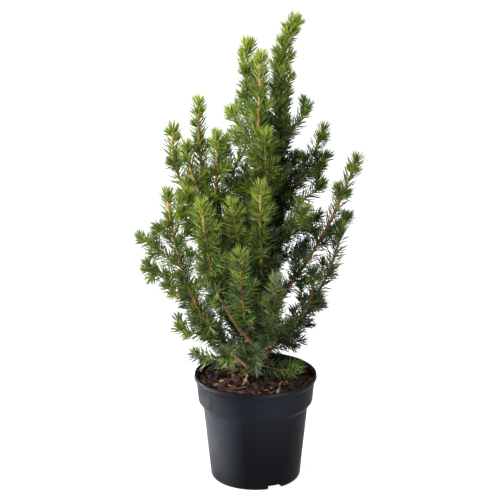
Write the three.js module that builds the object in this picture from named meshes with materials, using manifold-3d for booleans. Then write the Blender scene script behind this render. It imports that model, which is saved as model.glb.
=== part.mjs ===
// Dwarf alberta spruce growing in a plastic nursery pot.
// Millimetres. +Z is up, the middle of the pot's underside is the origin,
// -Y is the front of the plant and +X is its right side.
import * as THREE from "three";
import { mergeVertices } from "three/addons/utils/BufferGeometryUtils.js";
import Module from "manifold-3d";

const wasm = await Module();
wasm.setup();

// ---- driving dimensions ----
const GAP = 0.35;               // clearance between neighbouring pieces

const POT_HEIGHT = 107;
const LIP_RADIUS = 60;          // 12 cm pot
const LIP_DEPTH = 6.2;
const COLLAR_RADIUS = 58.3;     // just under the lip
const COLLAR_FOOT_RADIUS = 55.9;
const COLLAR_FOOT_HEIGHT = 80.6;
const BODY_TOP_RADIUS = 51.2;   // below the sloping step
const BODY_TOP_HEIGHT = 74.4;
const BODY_FOOT_RADIUS = 44.2;
const BASE_RADIUS = 41;
const BASE_ROUND = 4.6;
const WALL = 1.3;
const FLOOR = 1.8;
const POT_SIDES = 40;

const NOTCHES = 3;              // recesses in the bottom edge
const FIRST_NOTCH_SIDE = -63;   // degrees, just right of the front
const NOTCH_WIDTH = 16;
const NOTCH_HEIGHT = 4.6;
const NOTCH_DEPTH = 13;
const DRAIN_RADIUS = 2;
const DRAIN_DEPTH = 12;           // long enough to go through the notch roof
const NOTCH_LENGTH = 30;          // long enough to run out past the wall
const NOTCH_BELOW = 10;           // and down past the underside

const SOIL_TOP = 99.6;          // middle of the mound
const SOIL_DROP = 2.4;          // how much lower the soil is at the wall
const SOIL_BUMP = 1.1;
const SOIL_RINGS = 6;
const SOIL_SIDES = 22;
const TRUNK_BED = 15;           // flat part of the soil round the trunk

const TRUNK_FOOT = 100;
const TRUNK_RADIUS = 4.8;
const TRUNK_TIP_RADIUS = 0.9;
const FLARE = 3;
const FLARE_HEIGHT = 7;
// The trunk leans right, stands straight for a while and leans again at the tip:
// [height, shift to the right, shift to the back]
const TRUNK_SWAY = [
  [100, -1, 2],
  [175, 7, 2],
  [250, 15, 3],
  [320, 21, 4],
  [385, 24, 4],
  [425, 26, 5],
  [461, 36, 5],
];

const BOUGH_TIP = 0.55;         // share of a bough's thickness left where it goes into the leaves
const BOUGH_REACH = 7;          // how far a bough runs on inside its foliage
const NEEDLE_CAP = 4;           // foliage past the end of a shoot
const TRUNK_SIDES = 10;
const TRUNK_RINGS = 14;
const BOUGH_SIDES = 6;
const BOUGH_RINGS = 3;
const LEAF_SIDES = 6;
const LEAF_RINGS = 5;

// ---- the shoots ----
// name, limb it leaves, height where it leaves, side (degrees, 0 right, 90 back),
// reach from the pot's axis and height of its tip, how far out and how far up it has
// gone half way (as shares), foliage radius, bare share at the start, thickness of a
// separate bough (0 for none), and the foliage it is part of
const SHOOTS = [
  ["top_front", "trunk", 225, -74, 19, 435, 2.0, 0.35, 12, 0.2, 1.6, ""],
  ["top_left", "top_front", 350, -138, 12, 444, 1.2, 0.35, 11.5, 0.1, 0, ""],
  ["right_long", "trunk", 165, 0, 98, 329, 0.62, 0.36, 12, 0.15, 1.8, ""],
  ["right_long_side", "right_long", 250, 16, 93, 264, 0.8, 0.1, 10, 0.1, 0, "right_long"],
  ["right_low", "trunk", 126, 8, 85, 258, 0.85, 0.36, 12, 0.12, 1.9, ""],
  ["right_low_side", "right_low", 178, 7, 68, 175, 0.6, 0.3, 10, 0.1, 0, "right_low"],
  ["right_low_up", "right_low", 174, -5, 57, 217, 0.8, 0.3, 9, 0.1, 0, "right_low"],
  ["left_low", "trunk", 108, -157, 91, 306, 0.85, 0.28, 12, 0.2, 1.9, ""],
  ["left_out_d", "left_low", 262, -153, 107, 274, 0.6, 0.5, 9, 0.1, 0, "left_low"],
  ["left_tall", "trunk", 176, 180, 54, 386, 1.08, 0.38, 11.5, 0.15, 1.7, ""],
  ["left_high", "trunk", 215, 176, 78, 358, 1.12, 0.42, 11.5, 0.15, 1.5, ""],
  ["front_left_low", "trunk", 132, -129, 80, 303, 0.9, 0.36, 12.5, 0.2, 2.2, ""],
  ["left_mid", "trunk", 215, -163, 69, 349, 0.9, 0.4, 11, 0.18, 1.4, ""],
  ["front_mid", "trunk", 196, -85, 52, 317, 1.1, 0.15, 12.5, 0.15, 0, ""],
  ["front_low", "trunk", 148, -101, 76, 259, 1.0, 0.25, 12, 0.15, 1.5, ""],
  ["front_right_low", "trunk", 150, -76, 81, 235, 0.9, 0.2, 11.5, 0.15, 1.4, ""],
  ["front_high", "trunk", 275, -74, 34, 364, 1.1, 0.2, 11.5, 0.15, 0, ""],
  ["front_left_high", "left_tall", 270, -143, 46, 361, 1.1, 0.2, 11.5, 0.12, 0, ""],
  ["front_left_mid", "trunk", 215, -113, 56, 300, 0.9, 0.2, 11.5, 0.15, 0, ""],
  ["right_high", "trunk", 272, 13, 68, 355, 0.65, 0.35, 11.5, 0.15, 0, ""],
  ["right_mid", "trunk", 286, 0, 70, 331, 0.6, 0.4, 11, 0.12, 0, ""],
  ["right_flat", "trunk", 276, -7, 66, 306, 0.6, 0.15, 10.5, 0.12, 0, "right_mid"],
  ["right_front", "trunk", 245, -44, 69, 293, 0.5, 0.3, 11.5, 0.12, 0, ""],
  ["left_front_a", "left_mid", 262, -145, 87, 295, 0.9, 0.25, 10.5, 0.1, 0, ""],
  ["left_front_b", "left_mid", 280, -152, 73, 305, 0.9, 0.25, 10, 0.1, 0, "left_front_a"],
  ["left_out_a", "left_low", 225, -174, 113, 254, 0.55, 0.45, 11, 0.1, 0, ""],
  ["left_out_b", "left_low", 215, -169, 111, 223, 0.5, 0.3, 10.5, 0.1, 0, ""],
  ["left_out_c", "left_low", 190, -163, 93, 209, 0.5, 0.3, 10, 0.1, 0, "left_out_b"],
  ["left_under_a", "left_low", 150, -171, 79, 159, 0.5, 0.2, 10, 0.2, 0, ""],
  ["left_under_b", "left_low", 120, -164, 65, 134, 0.4, 0.1, 7.5, 0.25, 0, ""],
  ["front_left_foot", "front_left_low", 145, -121, 56, 134, 0.8, 0.1, 9, 0.2, 0, ""],
  ["right_foot", "trunk", 118, -24, 48, 122, 0.5, -2.5, 7.5, 0.2, 0, ""],
  ["upper_left_a", "top_front", 345, 154, 28, 373, 0.6, 0.3, 10.5, 0.1, 0, ""],
  ["upper_left_b", "top_front", 325, 142, 29, 348, 0.5, 0.4, 10.5, 0.1, 0, "upper_left_a"],
  ["upper_right", "trunk", 343, 21, 55, 375, 0.6, 0.3, 10.5, 0.12, 0, ""],
  ["right_back_high", "trunk", 238, 35, 79, 257, 0.6, 0.2, 11, 0.15, 0, ""],
  ["right_back_low", "trunk", 222, 44, 72, 219, 0.6, 0.3, 10.5, 0.15, 0, ""],
  ["back_top", "trunk", 318, 83, 34, 376, 0.8, 0.3, 13.0, 0.12, 0, ""],
  ["back_high", "trunk", 244, 84, 60, 338, 0.85, 0.3, 13.5, 0.15, 0, ""],
  ["back_left_high", "trunk", 262, 125, 59, 330, 0.8, 0.3, 13.5, 0.12, 0, ""],
  ["back_right_high", "trunk", 276, 62, 52, 330, 0.75, 0.3, 13.0, 0.12, 0, ""],
  ["back_left", "trunk", 176, 136, 86, 270, 0.85, 0.3, 13.5, 0.15, 1.7, ""],
  ["back_mid", "trunk", 196, 100, 80, 284, 0.85, 0.3, 13.5, 0.15, 0, ""],
  ["back_low", "trunk", 128, 108, 97, 222, 0.85, 0.3, 13.5, 0.2, 1.8, ""],
  ["back_right_low", "trunk", 150, 78, 90, 232, 0.85, 0.3, 13.5, 0.2, 1.7, ""],
  ["back_left_mid", "trunk", 155, 120, 97, 200, 0.8, 0.3, 13.0, 0.2, 0, ""],
  ["back_left_foot", "trunk", 115, 143, 90, 182, 0.8, 0.3, 13.0, 0.22, 1.7, ""],
  ["back_right_foot", "trunk", 120, 47, 91, 168, 0.8, 0.3, 13.0, 0.22, 1.7, ""],
  ["back_foot", "trunk", 112, 87, 86, 150, 0.7, 0.3, 11.5, 0.25, 0, ""],
];
const LEADER_RADIUS = 13;
const LEADER_START = 0.36;      // share of the trunk below the leader's foliage

// ---- small helpers ----
// Repeatable unevenness: a number from 0 to 1 made from a name and two counters.
function chance(name, a, b) {
  let seed = 17 + a * 7919 + b * 104729;
  for (const letter of name) {
    seed = (seed * 31 + letter.charCodeAt(0)) % 2147483647;
  }
  for (let k = 0; k < 3; k += 1) {
    seed = (seed * 48271 + 11) % 2147483647;
  }
  return seed / 2147483647;
}

function toSolid(geometry) {
  const plain = geometry.clone();
  plain.deleteAttribute("normal");
  plain.deleteAttribute("uv");
  const joined = mergeVertices(plain, 1e-4);
  const index = joined.index.array;
  const kept = [];
  for (let k = 0; k < index.length; k += 3) {
    const [a, b, c] = [index[k], index[k + 1], index[k + 2]];
    if (a !== b && b !== c && a !== c) kept.push(a, b, c);
  }
  return new wasm.Manifold(new wasm.Mesh({
    numProp: 3,
    vertProperties: new Float32Array(joined.attributes.position.array),
    triVerts: new Uint32Array(kept),
  }));
}

function toGeometry(solid) {
  const mesh = solid.getMesh();
  const geometry = new THREE.BufferGeometry();
  geometry.setAttribute("position", new THREE.BufferAttribute(mesh.vertProperties, 3));
  geometry.setIndex(new THREE.BufferAttribute(mesh.triVerts, 1));
  geometry.computeVertexNormals();
  return geometry;
}

function largestBody(solid) {
  const bodies = solid.decompose();
  bodies.sort((a, b) => b.volume() - a.volume());
  return bodies[0];
}

function boxesMeet(a, b) {
  const p = a.boundingBox();
  const q = b.boundingBox();
  for (let k = 0; k < 3; k += 1) {
    if (p.min[k] > q.max[k] || q.min[k] > p.max[k]) return false;
  }
  return true;
}

function cutRound(solid, others) {
  let left = solid;
  for (const other of others) {
    if (boxesMeet(left, other)) left = left.subtract(other);
  }
  return left;
}

// Turned body about the pot's axis from [radius, height] pairs.
function turned(profile, sides) {
  const points = profile.map(([r, z]) => new THREE.Vector2(r, z));
  const geometry = new THREE.LatheGeometry(points, sides);
  geometry.rotateX(Math.PI / 2);
  return toSolid(geometry);
}

// Block with its middle at the given place, turned about the pot's axis.
function block(length, width, height, place, degrees = 0) {
  const geometry = new THREE.BoxGeometry(length, width, height);
  geometry.translate(...place);
  geometry.rotateZ(THREE.MathUtils.degToRad(degrees));
  return toSolid(geometry);
}

// Upright round bar with its middle at the given place, turned about the pot's axis.
function bar(radius, height, place, degrees) {
  const geometry = new THREE.CylinderGeometry(radius, radius, height, 12);
  geometry.rotateX(Math.PI / 2);
  geometry.translate(...place);
  geometry.rotateZ(THREE.MathUtils.degToRad(degrees));
  return toSolid(geometry);
}

// ---- paths of the limbs ----
class Sway {
  constructor(knots) {
    const points = knots.map(([z, x, y]) => new THREE.Vector3(x, y, z));
    this.curve = new THREE.CatmullRomCurve3(points, false, "catmullrom", 0.5);
    this.across = new THREE.Vector3(0, 1, 0);
  }
}

class Shoot {
  constructor(start, tip, out, up) {
    const bend = new THREE.Vector3();
    bend.x = start.x + out * (tip.x - start.x);
    bend.y = start.y + out * (tip.y - start.y);
    bend.z = start.z + up * (tip.z - start.z);
    this.curve = new THREE.QuadraticBezierCurve3(start, bend, tip);
    const first = bend.clone().sub(start);
    const second = tip.clone().sub(start);
    this.across = first.cross(second).normalize();
  }
}

function pointAtHeight(path, height) {
  let low = 0;
  let high = 1;
  for (let k = 0; k < 40; k += 1) {
    const middle = (low + high) / 2;
    if (path.curve.getPoint(middle).z < height) low = middle;
    else high = middle;
  }
  return path.curve.getPoint(low);
}

// How tightly a path bends near t, as a radius.
function bendRadius(path, t) {
  const a = path.curve.getPoint(Math.max(0, t - 0.03));
  const b = path.curve.getPoint(Math.min(1, t));
  const c = path.curve.getPoint(Math.min(1, t + 0.03));
  const turn = b.clone().sub(a).angleTo(c.clone().sub(b));
  return turn < 1e-4 ? 1e4 : a.distanceTo(c) / 2 / turn;
}

// A closed tube along a path. radiusAt gets the share of the tube's own length and
// the number of the side. A blunt tube has its rings closer together towards the end.
function tube(path, from, to, radiusAt, sides, rings, cap, blunt = false) {
  const places = [];
  const faces = [];
  const middle = (t) => {
    const p = path.curve.getPoint(Math.min(1, Math.max(0, t)));
    const ahead = path.curve.getTangent(Math.min(1, Math.max(0, t)));
    return { p, ahead };
  };
  for (let ring = 0; ring <= rings; ring += 1) {
    const even = ring / rings;
    const share = blunt ? Math.sin((even * Math.PI) / 2) : even;
    const t = from + (to - from) * share;
    const { p, ahead } = middle(t);
    p.addScaledVector(ahead, cap * share);
    const side = path.across.clone().addScaledVector(ahead, -path.across.dot(ahead)).normalize();
    const lift = ahead.clone().cross(side);
    for (let k = 0; k < sides; k += 1) {
      const angle = (2 * Math.PI * k) / sides;
      const radius = radiusAt(share, k, t, ring);
      const q = p.clone();
      q.addScaledVector(side, radius * Math.cos(angle));
      q.addScaledVector(lift, radius * Math.sin(angle));
      places.push(q.x, q.y, q.z);
    }
  }
  const first = middle(from);
  const last = middle(to);
  last.p.addScaledVector(last.ahead, cap);
  places.push(first.p.x, first.p.y, first.p.z);
  places.push(last.p.x, last.p.y, last.p.z);
  const startPole = (rings + 1) * sides;
  const endPole = startPole + 1;
  for (let ring = 0; ring < rings; ring += 1) {
    for (let k = 0; k < sides; k += 1) {
      const a = ring * sides + k;
      const b = ring * sides + ((k + 1) % sides);
      faces.push(a, b, b + sides);
      faces.push(a, b + sides, a + sides);
    }
  }
  for (let k = 0; k < sides; k += 1) {
    const next = (k + 1) % sides;
    faces.push(startPole, next, k);
    faces.push(endPole, rings * sides + k, rings * sides + next);
  }
  const solid = new wasm.Manifold(new wasm.Mesh({
    numProp: 3,
    vertProperties: new Float32Array(places),
    triVerts: new Uint32Array(faces),
  }));
  return solid;
}

// ---- pot ----
function potOutside() {
  const lip = POT_HEIGHT - LIP_DEPTH;
  return turned([
    [0, 0],
    [BASE_RADIUS, 0],
    [BASE_RADIUS + 1.5, 0.7],
    [BASE_RADIUS + 2.6, 2.2],
    [BODY_FOOT_RADIUS, BASE_ROUND],
    [BODY_TOP_RADIUS, BODY_TOP_HEIGHT],
    [COLLAR_FOOT_RADIUS, COLLAR_FOOT_HEIGHT - 0.8],
    [COLLAR_FOOT_RADIUS + 0.15, COLLAR_FOOT_HEIGHT],
    [COLLAR_RADIUS, lip - 1],
    [LIP_RADIUS - 0.7, lip + 1.2],
    [LIP_RADIUS, lip + 3],
    [LIP_RADIUS, POT_HEIGHT - 1.3],
    [LIP_RADIUS - 0.5, POT_HEIGHT - 0.4],
    [LIP_RADIUS - 1.2, POT_HEIGHT],
    [0, POT_HEIGHT],
  ], POT_SIDES);
}

// The inside of the pot, drawn in by "inset" for the soil that fills it.
function potInside(inset, top) {
  return turned([
    [0, FLOOR + inset],
    [BASE_RADIUS - 0.4 - inset, FLOOR + inset],
    [BODY_FOOT_RADIUS - WALL - inset, BASE_ROUND + 0.6 + inset],
    [BODY_TOP_RADIUS - WALL - inset, BODY_TOP_HEIGHT + 0.6],
    [COLLAR_FOOT_RADIUS - WALL - inset, COLLAR_FOOT_HEIGHT + 0.4],
    [COLLAR_RADIUS - WALL - inset, top],
    [0, top],
  ], POT_SIDES);
}

// One notch block; "more" makes it larger all round.
function notch(side, more) {
  const width = NOTCH_WIDTH + 2 * more;
  const height = NOTCH_HEIGHT + NOTCH_BELOW + more;
  const inner = BASE_RADIUS - NOTCH_DEPTH - more;
  const middle = [inner + NOTCH_LENGTH / 2, 0, NOTCH_HEIGHT + more - height / 2];
  return block(NOTCH_LENGTH, width, height, middle, side);
}

function notchSides() {
  const sides = [];
  for (let k = 0; k < NOTCHES; k += 1) sides.push(FIRST_NOTCH_SIDE + (360 / NOTCHES) * k);
  return sides;
}

function makePot() {
  let hollow = potInside(0, POT_HEIGHT + 5);
  for (const side of notchSides()) hollow = hollow.subtract(notch(side, WALL));
  let pot = potOutside().subtract(hollow);
  for (const side of notchSides()) {
    const drain = [BASE_RADIUS - NOTCH_DEPTH / 2, 0, NOTCH_HEIGHT];
    pot = pot.subtract(notch(side, 0));
    pot = pot.subtract(bar(DRAIN_RADIUS, DRAIN_DEPTH, drain, side));
  }
  return largestBody(pot);
}

// ---- soil: a bark-covered root ball with a low, lumpy mound ----
function makeSoil() {
  let soil = potInside(GAP, SOIL_TOP + 8);
  for (const side of notchSides()) soil = soil.subtract(notch(side, WALL + GAP));
  const rings = SOIL_RINGS;
  const sides = SOIL_SIDES;
  const reach = LIP_RADIUS + 4;
  const places = [0, 0, SOIL_TOP];
  const faces = [];
  for (let ring = 1; ring <= rings; ring += 1) {
    const radius = (reach * ring) / rings;
    const outside = Math.max(0, (radius - TRUNK_BED) / (COLLAR_RADIUS - TRUNK_BED));
    for (let k = 0; k < sides; k += 1) {
      const angle = (2 * Math.PI * (k + 0.5 * (ring % 2))) / sides;
      const bump = outside > 0 ? SOIL_BUMP * (2 * chance("soil", ring, k) - 1) : 0;
      const height = SOIL_TOP - SOIL_DROP * outside * outside + bump;
      places.push(radius * Math.cos(angle), radius * Math.sin(angle), height);
    }
  }
  const deep = places.length / 3;
  places.push(0, 0, -10);
  for (let k = 0; k < sides; k += 1) {
    const angle = (2 * Math.PI * (k + 0.5 * (rings % 2))) / sides;
    places.push(reach * Math.cos(angle), reach * Math.sin(angle), -10);
  }
  const at = (ring, k) => 1 + (ring - 1) * sides + ((k + sides) % sides);
  for (let k = 0; k < sides; k += 1) {
    faces.push(0, at(1, k), at(1, k + 1));
    for (let ring = 1; ring < rings; ring += 1) {
      const a = at(ring, k);
      const b = at(ring, k + 1);
      const c = at(ring + 1, k);
      const d = at(ring + 1, k + 1);
      if (ring % 2 === 1) faces.push(a, c, b, b, c, d);
      else faces.push(a, c, d, a, d, b);
    }
    const e = at(rings, k);
    const f = at(rings, k + 1);
    const g = deep + 1 + k;
    const h = deep + 1 + ((k + 1) % sides);
    faces.push(e, g, f, f, g, h);
    faces.push(deep, h, g);
  }
  const below = new wasm.Manifold(new wasm.Mesh({
    numProp: 3,
    vertProperties: new Float32Array(places),
    triVerts: new Uint32Array(faces),
  }));
  return largestBody(soil.intersect(below));
}

// ---- trunk, boughs and foliage ----
function trunkSolid(path, more) {
  const radiusAt = (share, k) => {
    const height = share * (TRUNK_SWAY[TRUNK_SWAY.length - 1][0] - TRUNK_FOOT);
    const flare = FLARE * Math.exp(-height / FLARE_HEIGHT);
    const lobes = 1 + 0.3 * Math.cos((2 * Math.PI * k * 3) / TRUNK_SIDES + 0.6);
    const taper = TRUNK_TIP_RADIUS + (TRUNK_RADIUS - TRUNK_TIP_RADIUS) * Math.pow(1 - share, 1.15);
    return taper + flare * lobes + more;
  };
  const tree = tube(path, 0, 1, radiusAt, TRUNK_SIDES, TRUNK_RINGS, more);
  const above = block(400, 400, 600, [0, 0, TRUNK_FOOT - more + 300]);
  return tree.intersect(above);
}

function boughSolid(shoot, more) {
  const length = shoot.path.curve.getLength();
  const end = shoot.bare + BOUGH_REACH / length;
  const radiusAt = (share) => {
    const swell = 1 + 0.35 * Math.exp(-share * 9);
    return shoot.thickness * swell * (1 - (1 - BOUGH_TIP) * share) + more;
  };
  return tube(shoot.path, 0, end, radiusAt, BOUGH_SIDES, BOUGH_RINGS, more);
}

// The leafy end of one shoot: round at the start, fullest in the middle, drawn in to
// a blunt tip, and uneven all over.
function leafSolid(name, path, from, girth, more) {
  const radiusAt = (share, k, t, ring) => {
    const start = 0.55 + 0.45 * Math.min(1, share / 0.25);
    const end = Math.min(1, 0.7 + 0.3 * Math.pow((1 - share) / 0.2, 0.8));
    const nose = share > 0.999 ? 0.7 : 1;
    const uneven = 0.84 + 0.32 * chance(name, ring, k);
    const room = 0.75 * bendRadius(path, t);
    return Math.min(girth * start * end * nose * uneven, room) + more;
  };
  const back = more / path.curve.getLength();
  return tube(path, from - back, 1, radiusAt, LEAF_SIDES, LEAF_RINGS, NEEDLE_CAP + more, true);
}

function readShoots(trunkPath) {
  const paths = { trunk: trunkPath };
  const shoots = [];
  for (const [name, parent, leaves, side, reach, top, out, up, girth, bare, thickness, group] of SHOOTS) {
    const angle = (side * Math.PI) / 180;
    const start = pointAtHeight(paths[parent], leaves);
    const tip = new THREE.Vector3(reach * Math.cos(angle), reach * Math.sin(angle), top);
    const path = new Shoot(start, tip, out, up);
    paths[name] = path;
    shoots.push({ name, path, girth, bare, thickness, group: group || name });
  }
  return shoots;
}

function makePlant() {
  const trunkPath = new Sway(TRUNK_SWAY);
  const shoots = readShoots(trunkPath);
  const pieces = [];
  const inTheWay = [trunkSolid(trunkPath, GAP)];
  pieces.push(["trunk", trunkSolid(trunkPath, 0)]);
  for (const shoot of shoots) {
    if (shoot.thickness > 0) {
      const bough = largestBody(cutRound(boughSolid(shoot, 0), inTheWay));
      pieces.push([`bough_${shoot.name}`, bough]);
      inTheWay.push(boughSolid(shoot, GAP));
    }
  }
  const leader = leafSolid("leader", trunkPath, LEADER_START, LEADER_RADIUS, 0);
  pieces.push(["foliage_leader", largestBody(cutRound(leader, inTheWay))]);
  inTheWay.push(leafSolid("leader", trunkPath, LEADER_START, LEADER_RADIUS, GAP));
  for (const shoot of shoots) {
    if (shoot.group !== shoot.name) continue;
    let mass = null;
    let room = null;
    for (const part of shoots) {
      if (part.group !== shoot.name) continue;
      const leaf = leafSolid(part.name, part.path, part.bare, part.girth, 0);
      const wide = leafSolid(part.name, part.path, part.bare, part.girth, GAP);
      mass = mass ? mass.add(leaf) : leaf;
      room = room ? room.add(wide) : wide;
    }
    pieces.push([`foliage_${shoot.name}`, largestBody(cutRound(mass, inTheWay))]);
    inTheWay.push(room);
  }
  return pieces;
}

// ---- colours ----
const POT_COLOUR = 0x23262a;
const SOIL_COLOUR = 0x3f281d;
const TRUNK_COLOUR = 0x5b4030;
const BOUGH_COLOUR = 0x93683f;
const LEAF_COLOURS = [0x4f7a34, 0x5f8a3c, 0x436c31, 0x38602f, 0x6d9443];
const LEADER_COLOUR = 0x86a94a;
const BACK_COLOUR = 0x2f5029;

function colourOf(name) {
  if (name === "pot") return POT_COLOUR;
  if (name === "soil") return SOIL_COLOUR;
  if (name === "trunk") return TRUNK_COLOUR;
  if (name.startsWith("bough_")) return BOUGH_COLOUR;
  if (name === "foliage_leader" || name.startsWith("foliage_top")) return LEADER_COLOUR;
  if (name.includes("_back")) return BACK_COLOUR;
  return LEAF_COLOURS[Math.floor(chance(name, 1, 2) * LEAF_COLOURS.length)];
}

// ---- assembly ----
const model = new THREE.Group();
const pieces = [["pot", makePot()], ["soil", makeSoil()], ...makePlant()];
for (const [name, solid] of pieces) {
  const material = new THREE.MeshStandardMaterial({
    color: colourOf(name),
    roughness: name === "pot" ? 0.5 : 0.85,
    metalness: 0,
  });
  const mesh = new THREE.Mesh(toGeometry(solid), material);
  mesh.name = name;
  model.add(mesh);
}

export default model;
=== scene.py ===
"""Dwarf alberta spruce in a plastic nursery pot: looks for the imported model.

Everything is in metres in the model's own frame: +Z up, the middle of the pot's underside
at the origin, -Y the front of the plant and +X its right side.
"""
import math

import bpy
import numpy as np
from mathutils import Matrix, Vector, noise


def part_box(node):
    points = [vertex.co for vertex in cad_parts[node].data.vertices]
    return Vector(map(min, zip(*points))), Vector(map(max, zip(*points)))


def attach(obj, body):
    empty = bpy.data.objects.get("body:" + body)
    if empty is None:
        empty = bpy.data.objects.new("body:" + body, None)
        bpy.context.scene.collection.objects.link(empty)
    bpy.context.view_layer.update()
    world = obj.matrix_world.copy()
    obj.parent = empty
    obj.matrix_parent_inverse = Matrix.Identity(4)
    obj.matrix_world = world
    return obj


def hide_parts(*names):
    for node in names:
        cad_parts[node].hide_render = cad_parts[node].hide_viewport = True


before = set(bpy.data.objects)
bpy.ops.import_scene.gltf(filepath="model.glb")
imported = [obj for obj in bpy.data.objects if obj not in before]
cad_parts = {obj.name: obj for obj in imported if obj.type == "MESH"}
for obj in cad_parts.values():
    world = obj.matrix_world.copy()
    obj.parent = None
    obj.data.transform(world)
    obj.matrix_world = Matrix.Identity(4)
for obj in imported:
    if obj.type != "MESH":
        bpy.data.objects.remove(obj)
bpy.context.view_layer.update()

MM = 0.001
UP = np.array([0.0, 0.0, 1.0])
GOLDEN = math.radians(137.508)
rng = np.random.default_rng(20)

# ---- sizes taken from the frame ----
POT_LOW, POT_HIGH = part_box("pot")
LIP_RADIUS = POT_HIGH.x
POT_HEIGHT = POT_HIGH.z
SOIL_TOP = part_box("soil")[1].z
TRUNK_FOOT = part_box("trunk")[0].z

# ---- camera ----
CAMERA_DISTANCE = 2.6
CAMERA_HEIGHT_ANGLE = math.radians(18.3)
AIM_HEIGHT = 0.24
LENS = 194.2
SENSOR_WIDTH = 36
SHIFT = (-0.011, -0.0125)

# ---- trunk and boughs ----
TRUNK_RADIUS = 4.8 * MM
TRUNK_TIP_RADIUS = 0.9 * MM
TRUNK_TAPER = 1.15  # above 1 the trunk thins faster low down
TRUNK_RINGS, TRUNK_SIDES = 360, 28
YOUNG_FROM, YOUNG_TO = 0.27, 0.37  # the trunk's bark turns young between these heights
TRUNK_RELIEF = 0.16  # depth of the bark's relief, as a share of the radius
FLARE = 3.0 * MM
FLARE_HEIGHT = 7 * MM
FLARE_LOBES = 3
LOBE_DEPTH = 0.3
BOUGH_RINGS, BOUGH_SIDES = 70, 12
BOUGH_RELIEF = 0.22
BARK_PAST_BARE = 0.35  # share of its length that a bough's bark runs on past its bare start
BARK_LONGEST = 0.75
COLLAR_SWELL = 0.35  # how much thicker a bough is where it leaves the trunk
COLLAR_SHARPNESS = 12
BOUGH_THINNING = 0.55

# ---- needles ----
NEEDLE_LENGTH, LENGTH_RANGE = 14.8 * MM, (0.80, 1.10)
NEEDLE_WIDTH, WIDTH_RANGE = 1.0 * MM, (0.85, 1.12)
NEEDLE_FOOT = 0.75  # width at a needle's foot, as a share of its full width
SHOOT_SPACING = 0.36 * MM  # from one needle to the next round the spiral of a main shoot
TWIG_NEEDLE_SPACING = 0.46 * MM
RIGHT_SPARSE = 1.25  # needles on the right-hand shoots stand this much farther apart
PLACE_SPREAD = 0.4  # unevenness along the shoot, in spacings
TURN_SPREAD = 0.3  # unevenness round the shoot, in radians
LOW_NEEDLES = 0.15  # needles stand out from the shoot at this height and below,
HIGH_NEEDLES = 0.44  # and are pressed forwards along it at this height and above
LOW_ANGLE, HIGH_ANGLE = 62, 40
ANGLE_SPREAD = 0.15
TIP_ANGLES = (2, 40)  # the range at a shoot's very end
DIRECTION_SPREAD = 0.06
CURL_AHEAD, CURL_UP = 0.17, 0.07
FACING = 0.7  # needles that face out of the crown more than this are sparse,
FACING_SHARE = 0.55  # with this share of them left
NEEDLE_SEAT = 0.8  # how far out the needles' feet stand, as a share of the radius
TIP_NEEDLES = 4 * MM  # how far the needles at a shoot's end reach past its bud
TIP_STRETCH = 7 * MM  # needles turn ahead and get shorter over this last stretch
SHORTER_AT_TIP = 0.28
ROSETTE = 18  # extra needles round a shoot's end bud
ROSETTE_REACH = (0.1, 4.5)  # how far behind the bud they stand, in mm
FEWEST_NEEDLES = 5

# ---- side shoots ----
SHOOT_RADIUS = 1.75 * MM
SHOOT_TIP_RADIUS = 1.1 * MM
SHOOT_WOBBLE = 0.12
LONG_SHOOT = 130 * MM  # a shoot this long or longer has its full thickness
THINNEST_SHOOT = 0.5  # and a short one at least this share of it
LEADER_START = 0.36  # share of the trunk's length where its own needles start
TWIGGY_SHARE = 0.86  # share of a shoot's leafy part that bears side shoots
LEADER_TWIGGY, LEADER_TWIGGY_SHARE, LEADER_FRESH = 1.3, 0.96, 0.26
TWIG_SPACING = 4.9 * MM
TWIG_STRETCH = 0.85
WHORL = 3  # side shoots that leave a shoot close together
WHORL_SPREAD = 0.35
TWIG_LONGEST, TWIG_SHORTEST = 30 * MM, 8 * MM
TWIG_RANGE = (0.6, 1.1)
FACING_SHORTER = 0.62  # side shoots that face out of the crown are shorter by this share
LEANING_LOW = 0.30  # between these heights the side shoots turn steeper
LEANING_HIGH = 0.42
TWIG_LEAN, TWIG_STEEPER = (44, 62), 18
TWIG_RISE = 0.22
TWIG_DARKER = 0.04
TWIG_FRESH = 0.35
TWIG_NEEDLE_SIZE = 0.86
TWIG_RADIUS = 0.5 * MM
TWIG_RADII = (0.62, 0.40)  # at its foot and tip, in mm
TWIG_OUT, TWIG_UP, TWIG_STEPS = 0.62, 0.35, 8
TWIG_BARE = 0.8 * MM
TIP_TWIGS = 2  # short side shoots close under a shoot's end
TIP_TWIG_PLACE = (5, 15)  # how far under it and how long, in mm
TIP_TWIG_LENGTH = (3, 6)
TIP_TWIG_AHEAD, TIP_TWIG_OUT, TIP_TWIG_RISE = 0.75, 0.65, 0.1
TIP_TWIG_FRESH = 0.8
TIP_TWIG_NEEDLE_SIZE = 0.80

# ---- shaded shoots inside the crown ----
INNER_SHOOTS = 130
INNER_LOW, INNER_HIGH = 106 * MM, 310 * MM
INNER_LONGEST, INNER_SHORTER = 46, 24  # in mm, at the foot and how much shorter at the top
INNER_RANGE = (0.65, 1.15)
INNER_OUT = 0.82
INNER_RISE = (0.25, 0.75)
INNER_FRESH = 0.05
INNER_NEEDLE_SIZE = 0.95
THIN_SIDE = 0.2  # right of this the inner shoots are shorter, by this share
THIN_SHARE = 0.3
BARE_SIDE = 0.45  # right of this there are none below this height
BARE_TOP = 165 * MM
LONG_BOUGH_SIDE = math.radians(-138)  # a long bough shows bare here, low at the front left
LONG_BOUGH_OPEN = 0.75
LONG_BOUGH_TOP = 185 * MM
LONG_BOUGH_SHARE = 0.25

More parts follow.
